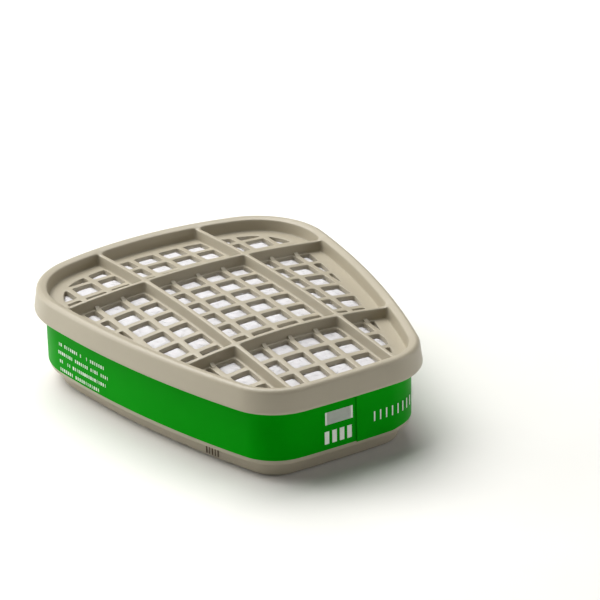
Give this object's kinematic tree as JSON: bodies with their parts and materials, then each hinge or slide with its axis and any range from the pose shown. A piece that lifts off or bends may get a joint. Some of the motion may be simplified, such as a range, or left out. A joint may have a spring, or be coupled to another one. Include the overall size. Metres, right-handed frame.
{
  "type": "respirator cartridge",
  "caption": "Flat trapezoidal gas and vapour cartridge with a domed inlet grille, a wrap-around label and a bayonet socket in its back.",
  "frame": {"origin": "centre of the plan outline, on the flat back face that carries the bayonet socket", "axes": "+Z out through the inlet grille, +Y towards the wide end, +X across"},
  "size_m": [0.0844, 0.104, 0.0272],
  "materials": {
    "body_plastic": "warm greige moulded polypropylene, fine satin texture",
    "socket_plastic": "warm greige moulded plastic, a little smoother on the sealing face",
    "grid_plastic": "natural off-white moulded plastic",
    "outlet_nonwoven": "dense white nonwoven, fibrous",
    "sorbent": "black granular activated carbon",
    "inlet_nonwoven": "soft white nonwoven, fuzzy and slightly pillowed",
    "cover_plastic": "warm greige moulded polypropylene, satin, rounded edges",
    "label_film": "green printed film, semi-gloss, with plain pale print marks"
  },
  "bodies": {
    "root": {"body_shell": "body_plastic", "bayonet_ring": "socket_plastic", "support_grid": "grid_plastic", "outlet_filter": "outlet_nonwoven", "sorbent_bed": "sorbent", "inlet_pad": "inlet_nonwoven", "inlet_cover": "cover_plastic", "label_band": "label_film"}
  },
  "joints": []
}
